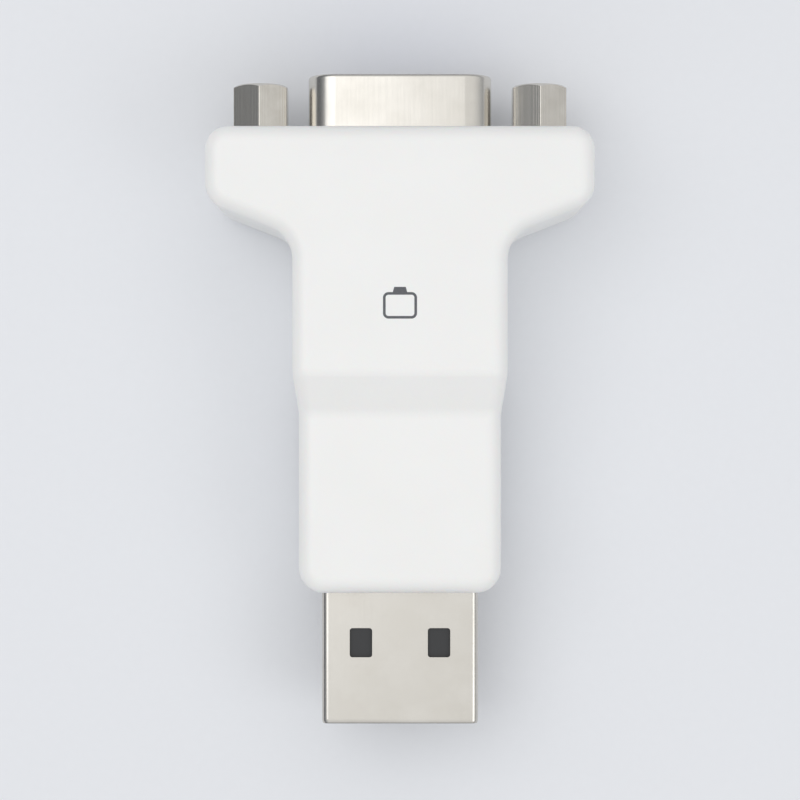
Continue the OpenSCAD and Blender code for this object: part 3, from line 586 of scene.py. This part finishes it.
# The ribs behind the flange and round the plug, and the ledges that hold the edges of the board
def innerRibs(turn):
    wallIn = housing["wall"] - housing["sideLap"]
    roofIn = housing["wall"] - housing["roofLap"]
    ribT, ledgeW = housing["ribT"], housing["ledgeW"]
    bars = [(-housing["headW"] / 2 + wallIn, housing["headW"] / 2 - wallIn,
             along["rearPlate"] - slip - ribT, ribT,
             width("vga_rear_insulator", "Z") / 2 + ribT, roofZ / 2 - roofIn)]
    for y in (along["nose"] + 2 * housing["wall"], along["plugEnd"] - ribT - slip):
        x = housing["noseW"] / 2 - wallIn
        bars.append((-x, x, y, ribT, plug["h"] / 2 + slip, noseH / 2 - roofIn))
    for y, w in ((along["ramp"] - 2 * ledgeW, housing["noseW"]),
                 (along["neck"] + lengths["neck"] / 2, housing["neckW"])):
        for side in (-1, 1):
            inner, outer = width("circuit_board", "X") / 2 - housing["ledgeReach"], w / 2 - wallIn
            low, high = sorted((side * inner, side * outer))
            bars.append((low, high, y, ledgeW,
                         width("circuit_board", "Z") / 2 + slip, halfHeight(y) - roofIn))
    made = []
    for left, right, y, deep, foot, top in bars:
        low, high = sorted((midZ + turn * foot, midZ + turn * top))
        made.append(boxMesh("rib", (left, y, low), (right, y + deep, high)))
    return made


def housingHalf(name, up):
    turn = 1 if up else -1
    rings = [[Vector((p.x, p.y, midZ + turn * (share * halfHeight(p.y) + rise)))
              for p in roundPath(insetPath(planPath, inset), housing["cornerSteps"])]
             for inset, share, rise in halfLevels(up)]
    half = loft(name, rings, whiteAbs, ends="strips")
    nose, face, broken, over = along["nose"], along["face"], housing["openingBreak"], housing["overrun"]
    for opening, path, flare in (
            ("plugOpening", insetPath(plugPath, -slip),
             ((nose - over, broken + over), (nose + broken, 0), (nose + housing["reach"], 0))),
            ("faceOpening", facePath,
             ((along["flange"] - slip, 0), (face - broken, 0), (face + over, broken + over)))):
        carve(half, loft(opening, [facing(roundPath(insetPath(path, -out), socket["steps"]), y)
                                   for y, out in flare]))
    x, z = socket["flangeW"] / 2 + slip, socket["flangeH"] / 2 + slip
    carve(half, boxMesh("flangePocket", (-x, along["rearPlate"] - slip, midZ - z),
                        (x, along["flange"] + slip, midZ + z)))
    return smooth(joinInto(half, innerRibs(turn)), crease=34)


topHalf = housingHalf("topHalf", True)
bottomHalf = housingHalf("bottomHalf", False)
for half, node in ((topHalf, "top_shell"), (bottomHalf, "bottom_shell")):
    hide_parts(node)
    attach(half, "housing")
print("housing made:", len(topHalf.data.polygons), "faces in the top half")


# Printed mark near the VGA end: a plain monitor with its stand towards the socket

mark = {"x": 0.0, "y": 8.2, "w": 2.95, "h": 2.3, "r": 0.48, "line": 0.23, "standW": 1.25, "standH": 0.45,
        "taper": 0.8, "film": 0.006, "sunk": 0.01, "steps": 10}


def printedMark():
    bm = bmesh.new()
    frameOut = leaningPath(mark["w"], mark["h"], mark["r"])
    screen = [roundPath(path, mark["steps"]) for path in (frameOut, insetPath(frameOut, mark["line"]))]
    foot, base = mark["standW"] / 2, mark["h"] / 2
    neck, reach = foot * mark["taper"], base + mark["standH"]
    stand = [(foot, base), (neck, reach), (-neck, reach), (-foot, base)]
    for group in (screen, [stand]):
        levels = []
        for z in (roofZ - mark["sunk"], roofZ + mark["film"]):
            rings = [addRing(bm, lying(loop, z, mark["x"], mark["y"])) for loop in group]
            fillLoops(bm, rings)
            levels.append(rings)
        for low, high in zip(*levels):
            bridge(bm, low, high)
    return finishMesh(bm, "monitorMark", greyInk)


monitorMark = printedMark()
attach(monitorMark, "housing")
print("mark printed")


# HDMI plug: folded shell with a lead-in at its mouth, latch windows and a dovetailed seam underneath

latch = {"w": 2.0, "l": 2.6, "x": 3.475, "y": -22.9, "r": 0.25, "reach": 3.0, "steps": 6}
seam = {"x": 0.0, "w": 0.08, "deep": 0.1, "tail": 0.9, "neck": 0.55, "reach": 0.8, "places": (-25.6, -20.4),
        "overrun": 0.5, "below": 0.1}


def plugShell():
    tip, end, sheet = along["tip"], along["plugEnd"], plug["sheet"]
    profile = [(0, end)] + [(inset, tip + back) for inset, back in plug["mouth"]] + [(sheet, end)]
    shell = loft("plugShell", [facing(roundPath(insetPath(plugPath, inset), plug["steps"]), y)
                               for inset, y in profile], nickelSheet, ends="joined")
    window = roundPath(leaningPath(latch["w"], latch["l"], latch["r"]), latch["steps"])
    for side in (-1, 1):
        carve(shell, loft("window", [lying(window, z, side * latch["x"], latch["y"] + latch["l"] / 2)
                                     for z in (midZ - latch["reach"], midZ + latch["reach"])]))
    line = [(0, tip - seam["overrun"])]
    for y in seam["places"]:
        line += [(0, y - seam["neck"] / 2), (seam["reach"], y - seam["tail"] / 2),
                 (seam["reach"], y + seam["tail"] / 2), (0, y + seam["neck"] / 2)]
    line.append((0, along["nose"] + 2 * seam["overrun"]))
    cut = stripPath([Vector((seam["x"] + x, y)) for x, y in line], seam["w"])
    under = midZ - plug["h"] / 2
    carve(shell, loft("seamCut", [lying(cut, z) for z in (under - seam["below"], under + seam["deep"])]))
    legs = []
    for side in (-1, 1):
        low, high = sorted((side * plug["w"] / 2, side * (plug["w"] / 2 - sheet)))
        legs.append(boxMesh("leg", (low, end - slip, midZ - plug["legH"] / 2),
                            (high, extent("hdmi_shell", "Y")[1], midZ + plug["legH"] / 2)))
    return smooth(joinInto(shell, legs), crease=40)


hdmiShell = plugShell()
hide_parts("hdmi_shell")
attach(hdmiShell, "housing")
print("plug shell made:", len(hdmiShell.data.polygons), "faces")


# VGA socket: drawn front shell with its flange, and the blue insulator with its staggered holes

dPath = leaningPath(socket["dW"], socket["dH"], socket["dR"], socket["lean"])


def frontShell():
    bm = bmesh.new()
    sheet, root, steps = socket["sheet"], socket["rootR"], socket["steps"]
    flange, plates, bend = along["flange"], along["plates"], socket["rootR"] + socket["sheet"]
    profile = [(-root * (1 - s), flange + root * (1 - c)) for s, c in quarter(socket["bendSteps"])]
    profile += [(inset, along["end"] - back) for inset, back in socket["mouth"]]
    profile += [(sheet - bend * (1 - c), plates + bend * (1 - s)) for s, c in quarter(socket["bendSteps"])]
    rings = [addRing(bm, facing(roundPath(insetPath(dPath, inset), socket["dSteps"]), y))
             for inset, y in profile]
    for first, second in zip(rings, rings[1:]):
        bridge(bm, first, second)
    outline = leaningPath(socket["flangeW"], socket["flangeH"], socket["flangeR"])
    broken = socket["flangeBreak"]
    rims, holes = [], []
    for y, outward, opening in ((flange, -1, rings[0]), (plates, 1, rings[-1])):
        edge = addRing(bm, facing(roundPath(insetPath(outline, broken), steps), y))
        rim = addRing(bm, facing(roundPath(outline, steps), y + outward * broken))
        bridge(bm, edge, rim)
        pair = [addRing(bm, facing(circlePath(socket["studHole"] / 2, socket["holeSides"], x), y))
                for x in (-screwX, screwX)]
        fillLoops(bm, [edge, opening] + pair)
        rims.append(rim)
        holes.append(pair)
    bridge(bm, *rims)
    for front, back in zip(*holes):
        bridge(bm, front, back)
    return smooth(finishMesh(bm, "socketFrontShell", nickelSheet), crease=40)


vgaShell = frontShell()
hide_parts("vga_front_shell")
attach(vgaShell, "housing")

# Over and past carry the drill out of both faces of the insulator
insulator = {"rearEase": 0.2, "mouth": [(0, 0.18), (0.05, 0.06), (0.17, 0)], "steps": 12}
pins = {"columns": 5, "rows": 3, "pitch": 2.29, "rowPitch": 1.98, "sinkR": 0.9, "sink": 0.4, "r": 0.5,
        "l": 1.0, "barrelR": 0.65, "over": 0.1, "past": 0.5, "sides": 32}


def frontInsulator():
    front, rear = along["insulatorFace"], along["plates"]
    inset, ease = socket["sheet"] + slip, insulator["rearEase"]
    profile = [(inset + ease, rear), (inset, rear + ease)]
    profile += [(inset + more, front - back) for more, back in insulator["mouth"]]
    body = loft("socketFrontInsulator", [facing(roundPath(insetPath(dPath, depth), insulator["steps"]), y)
                                         for depth, y in profile], bluePbt)
    drill = [(pins["sinkR"] + pins["over"], front + pins["over"]), (pins["sinkR"], front),
             (pins["r"], front - pins["sink"]), (pins["r"], front - pins["l"]),
             (pins["barrelR"], front - pins["l"]), (pins["barrelR"], rear - pins["past"])]
    drillBit = loft("drillBit", [[Vector((p.x, y, p.y)) for p in circlePath(r, pins["sides"])]
                                 for r, y in drill], bluePbt)
    carve(body, growTree("holeCutter", holeTree, {
        "Columns": pins["columns"], "Rows": pins["rows"], "Pitch": pins["pitch"] * mm,
        "Row pitch": pins["rowPitch"] * mm, "Stagger": pins["pitch"] / 4 * mm, "Height": midZ * mm,
        "Hole": drillBit, "Material": bluePbt}))
    bpy.data.objects.remove(drillBit)
    return smooth(body, crease=30)


vgaInsulator = frontInsulator()
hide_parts("vga_front_insulator")
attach(vgaInsulator, "housing")
print("socket made:", len(vgaShell.data.polygons), "faces in the shell,",
      len(vgaInsulator.data.polygons), "in the insulator")


# Jackscrews: chamfered hexagon, threaded bore and threaded stud on each side, over a split lock washer.
# The hexagon is af across its flats. A pole closes an end almost to a point, and over, conePole and
# clear shape only the cutters. The lift keeps a washer off the flange, and slant leans its split.

screw = {"af": 4.76, "edgeR": 0.1, "foot": 0.12, "faceR": 2.2, "chamfer": 30, "boreR": 1.36, "boreL": 4.0,
         "mouth": 0.16, "studR": 1.12, "tipR": 0.85, "lead": 0.635, "ridge": 0.23, "over": 0.02, "pole": 0.02,
         "conePole": 0.05, "clear": 1.0, "edgeSteps": 4, "split": 10}
washer = {"outR": 2.5, "inR": 1.45, "meanR": 2.0, "gap": 0.5, "slant": 0.35, "round": 0.08, "lift": 0.001,
          "steps": 64}

# The hexagon has corners at odd multiples of 30 degrees, and its flats are split so that a round ring
# with the same number of points is smooth
hexR = screw["af"] / 3 ** 0.5
hexPath = [(hexR * math.cos(math.pi / 6 * k), hexR * math.sin(math.pi / 6 * k), screw["edgeR"])
           for k in range(1, 13, 2)]
hexPoints = []
arcs = roundPath(hexPath, screw["edgeSteps"])
for i, p in enumerate(arcs):
    q = arcs[(i + 1) % len(arcs)]
    pieces = screw["split"] if (q - p).length > screw["af"] / 4 else 1
    hexPoints += [p.lerp(q, k / pieces) for k in range(pieces)]


# A ring about a screw's axis: round if a radius is given, otherwise the hexagon, drawn in by an inset
# or sloped back from the round of its face
def screwRing(x, y, radius=None, inset=0.0, slope=0.0):
    ring = []
    for p in hexPoints:
        r = radius or p.length - inset
        away = p / p.length
        ring.append(Vector((x + r * away.x, y - slope * (r - screw["faceR"]), midZ + r * away.y)))
    return ring


# One thread, cut off where the chamfer at its mouth or tip would cut it
def threadPiece(x, radius, first, length, chamfer, operation):
    thread = growTree("thread", threadTree, {
        "Radius": radius * mm, "Lead": screw["lead"] * mm, "Turns": length / screw["lead"],
        "Depth": screw["ridge"] * mm, "Place": (x * mm, first * mm, midZ * mm), "Material": nickelScrew})
    return carve(thread, loft("chamfer", [screwRing(x, y, r) for r, y in chamfer]), operation)


def jackscrew(name, x):
    tip, top = extent("left_jackscrew", "Y")
    start, ridge, studR, tipR = along["screwFoot"], screw["ridge"], screw["studR"], screw["tipR"]
    bottom, mouthR = top - screw["boreL"], screw["boreR"] + screw["mouth"]
    slope = math.tan(math.radians(screw["chamfer"]))
    rings = [screwRing(x, y, r) for r, y in (
        (screw["pole"], tip), (tipR, tip), (studR, tip + studR - tipR), (studR, start))]
    rings += [screwRing(x, start, inset=screw["foot"]), screwRing(x, start + screw["foot"]),
              screwRing(x, top, slope=slope)]
    rings += [screwRing(x, y, r) for r, y in (
        (screw["faceR"], top), (mouthR, top), (screw["boreR"], top - screw["mouth"]),
        (screw["boreR"], bottom), (screw["pole"], bottom - 2 * ridge))]
    made = loft(name, rings, nickelScrew)
    cone, wide = screw["conePole"], mouthR + screw["clear"]
    boreThread = threadPiece(x, screw["boreR"], bottom + ridge, screw["boreL"], (
        (cone, top - mouthR + cone), (mouthR, top), (wide, top), (wide, top + screw["clear"])), "DIFFERENCE")
    rodR = studR + ridge + screw["over"]
    studThread = threadPiece(x, studR, tip, start - tip - 2 * ridge, (
        (tipR, tip), (rodR, tip + rodR - tipR), (rodR, start)), "INTERSECT")
    return smooth(joinInto(made, [boreThread, studThread]), crease=28)


# The section is a square with broken corners, swept round from one side of the split to the other
def splitWasher(name, x):
    low, high = along["flange"] + washer["lift"], along["screwFoot"]
    inR, outR, b = washer["inR"], washer["outR"], washer["round"]
    section = [(inR, low + b), (inR + b, low), (outR - b, low), (outR, low + b),
               (outR, high - b), (outR - b, high), (inR + b, high), (inR, high - b)]
    half = washer["gap"] / 2 / washer["meanR"]
    rings = []
    for k in range(washer["steps"] + 1):
        sweep = half + (2 * math.pi - 2 * half) * k / washer["steps"]
        points = []
        for r, y in section:
            a = math.pi / 2 + sweep + washer["slant"] * (y - (low + high) / 2) / washer["meanR"]
            points.append(Vector((x + r * math.cos(a), y, midZ + r * math.sin(a))))
        rings.append(points)
    return smooth(loft(name, rings, zincSteel), crease=50)


for sideName, x in (("left", -screwX), ("right", screwX)):
    made = jackscrew(sideName + "Jackscrew", x)
    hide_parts(sideName + "_jackscrew")
    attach(made, sideName + "_screw")
    made = splitWasher(sideName + "Washer", x)
    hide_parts(sideName + "_lock_washer")
    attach(made, sideName + "_washer")
print("jackscrews and washers made")


# CAD parts whose shape is right keep it and get their finish

finishes = {"circuit_board": greenMask, "hdmi_insulator": blackLcp, "hdmi_upper_contacts": goldFlash,
            "hdmi_lower_contacts": goldFlash, "vga_rear_shell": nickelSheet, "vga_rear_insulator": blackLcp,
            "vga_top_contacts": goldFlash, "vga_middle_contacts": goldFlash, "vga_bottom_contacts": goldFlash,
            "left_threaded_insert": turnedBrass, "right_threaded_insert": turnedBrass,
            "converter_chip": epoxyPackage, "flash_chip": epoxyPackage, "crystal": crystalLid,
            "voltage_regulator": epoxyPackage, "esd_arrays": epoxyPackage, "capacitors": tanCeramic,
            "resistors": epoxyPackage, "ferrite_beads": greyFerrite, "power_inductor": greyFerrite}
for name, material in finishes.items():
    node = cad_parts[name]
    if not node.material_slots:
        node.data.materials.append(material)
    for slot in node.material_slots:
        slot.material = material
print("finishes given to", len(finishes), "CAD parts")


# Floor, lamps, world and camera. The lamps' powers are in watts.

studio = {"floor": "#E9EBEF", "floorSize": 1800, "floorT": 6, "gap": 0.02, "aim": (0, 0, 8),
          "key": {"place": (-150, 60, 350), "size": 320, "power": 0.28},
          "fill": {"place": (230, -120, 260), "size": 200, "power": 0.12},
          "world": 0.86, "horizon": "#9A9DA2", "zenith": "#FFFFFF", "fadeFrom": -0.2, "fadeTo": 0.9,
          "room": ("#6E7176", "#B4B7BB", "#FFFFFF"), "roomBand": 0.45, "roomLean": 0.35,
          "backdrop": "#E6E8EB", "height": 207.5, "lens": 100, "sensor": 36}

floorMaterial, tree, bsdf, place = startMaterial("palePaperFloor", {
    "Base Color": linear(studio["floor"]), "Roughness": 0.7, "IOR": 1.45})
fibre = addNode(tree, "ShaderNodeTexNoise", {"Scale": perMm(0.8), "Detail": 3.0},
                {"Vector": place}).outputs[0]
dress(tree, bsdf, (fibre, "#EAECF0", "#E8EAEE"), (fibre, 0.65, 0.75), (fibre, 0.004))
reach = studio["floorSize"] / 2
floor = boxMesh("floor", (-reach, -reach, -studio["floorT"]), (reach, reach, -studio["gap"]), floorMaterial)

for name in ("key", "fill"):
    lamp = studio[name]
    light = bpy.data.lights.new(name, "AREA")
    light.shape, light.size, light.energy = "DISK", lamp["size"] * mm, lamp["power"]
    hung = newObject(name, light)
    hung.location = Vector(lamp["place"]) * mm
    hung.rotation_euler = (Vector(studio["aim"]) - Vector(lamp["place"])).to_track_quat("-Z", "Y").to_euler()

# The light of the sky: greyer from the horizon down, white overhead
world = bpy.data.worlds.new("studio")
bpy.context.scene.world = world
world.use_nodes = True
tree = world.node_tree
tree.nodes.clear()
way = addNode(tree, "ShaderNodeTexCoord").outputs["Generated"]
way = addNode(tree, "ShaderNodeSeparateXYZ", links={0: way}).outputs
share = addNode(tree, "ShaderNodeMapRange", {"From Min": studio["fadeFrom"], "From Max": studio["fadeTo"]},
                {"Value": way[2]})
sky = addNode(tree, "ShaderNodeMix", {
    "data_type": "RGBA", 6: linear(studio["horizon"]), 7: linear(studio["zenith"])}, {0: share.outputs[0]})
light = addNode(tree, "ShaderNodeBackground", {"Strength": studio["world"]}, {"Color": sky.outputs[2]})

# What metal mirrors is a pale room, darker low down and to one side; the camera sees a plain backdrop
slant = addNode(tree, "ShaderNodeMath", {"operation": "MULTIPLY_ADD", 1: studio["roomLean"]},
                {0: way[0], 2: way[2]})
room = addNode(tree, "ShaderNodeValToRGB", links={0: slant.outputs[0]})
stops = room.color_ramp.elements
for stop, colour in zip((stops[0], stops.new(studio["roomBand"]), stops[-1]), studio["room"]):
    stop.color = linear(colour)
mirrored = addNode(tree, "ShaderNodeBackground", {"Strength": 1.0}, {"Color": room.outputs[0]})
backdrop = addNode(tree, "ShaderNodeBackground", {"Strength": 1.0, "Color": linear(studio["backdrop"])})
ray = addNode(tree, "ShaderNodeLightPath").outputs
seen = addNode(tree, "ShaderNodeMixShader", links={
    0: ray["Is Glossy Ray"], 1: light.outputs[0], 2: mirrored.outputs[0]})
seen = addNode(tree, "ShaderNodeMixShader", links={
    0: ray["Is Camera Ray"], 1: seen.outputs[0], 2: backdrop.outputs[0]})
addNode(tree, "ShaderNodeOutputWorld", links={"Surface": seen.outputs[0]})

camera = bpy.data.cameras.new("camera")
camera.lens, camera.sensor_width = studio["lens"], studio["sensor"]
camera.clip_start, camera.clip_end = 0.01, 10
view = newObject("camera", camera)
view.location = (0, 0, studio["height"] * mm)
bpy.context.scene.camera = view
bpy.context.scene.view_settings.view_transform = "Standard"
print("stage, lamps and camera set")
